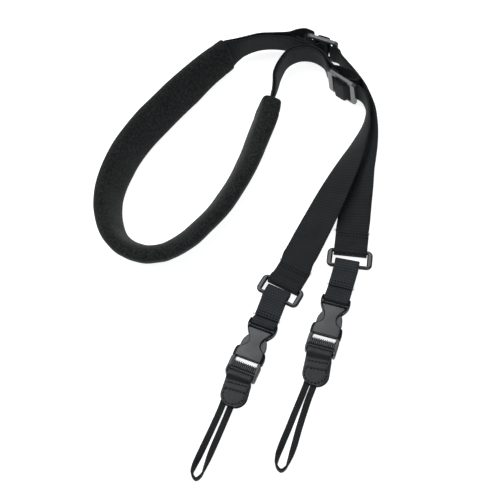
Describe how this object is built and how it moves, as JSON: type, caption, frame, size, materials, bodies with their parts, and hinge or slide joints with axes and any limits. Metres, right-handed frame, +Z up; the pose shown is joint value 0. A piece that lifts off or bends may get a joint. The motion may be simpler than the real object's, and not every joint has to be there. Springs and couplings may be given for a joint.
{
  "type": "camera_neck_strap",
  "caption": "Camera neck strap with a padded sleeve, flat webbing with slide adjusters, side-release buckles, leather ends and tape loops, lying in a loop.",
  "frame": {"origin": "the middle of the footprint without the tape loops, on the surface that the strap lies on", "axes": "+Z up from the surface; +Y from the buckles towards the neck pad's upper end, along the laid-out strap; +X to the viewer's right"},
  "size_m": [0.2154, 0.3771, 0.0322],
  "materials": {
    "padding": "matt knit over foam",
    "webbing": "woven nylon",
    "tape": "close-woven narrow tape",
    "glossy_plastic": "polished mould",
    "acetal": "satin mould",
    "leather": "smooth, semi-matt"
  },
  "bodies": {
    "root": {"neck_pad": "padding", "webbing_right": "webbing", "webbing_left": "webbing", "adjuster_right": "glossy_plastic", "adjuster_left": "glossy_plastic", "ring_right": "acetal", "ring_left": "acetal", "link_right": "webbing", "link_left": "webbing", "buckle_socket_right": "acetal", "buckle_socket_left": "acetal", "buckle_prong_right": "acetal", "buckle_prong_left": "acetal", "leather_tab_right": "leather", "leather_tab_left": "leather", "tape_loop_right": "tape", "tape_loop_left": "tape"}
  },
  "joints": []
}
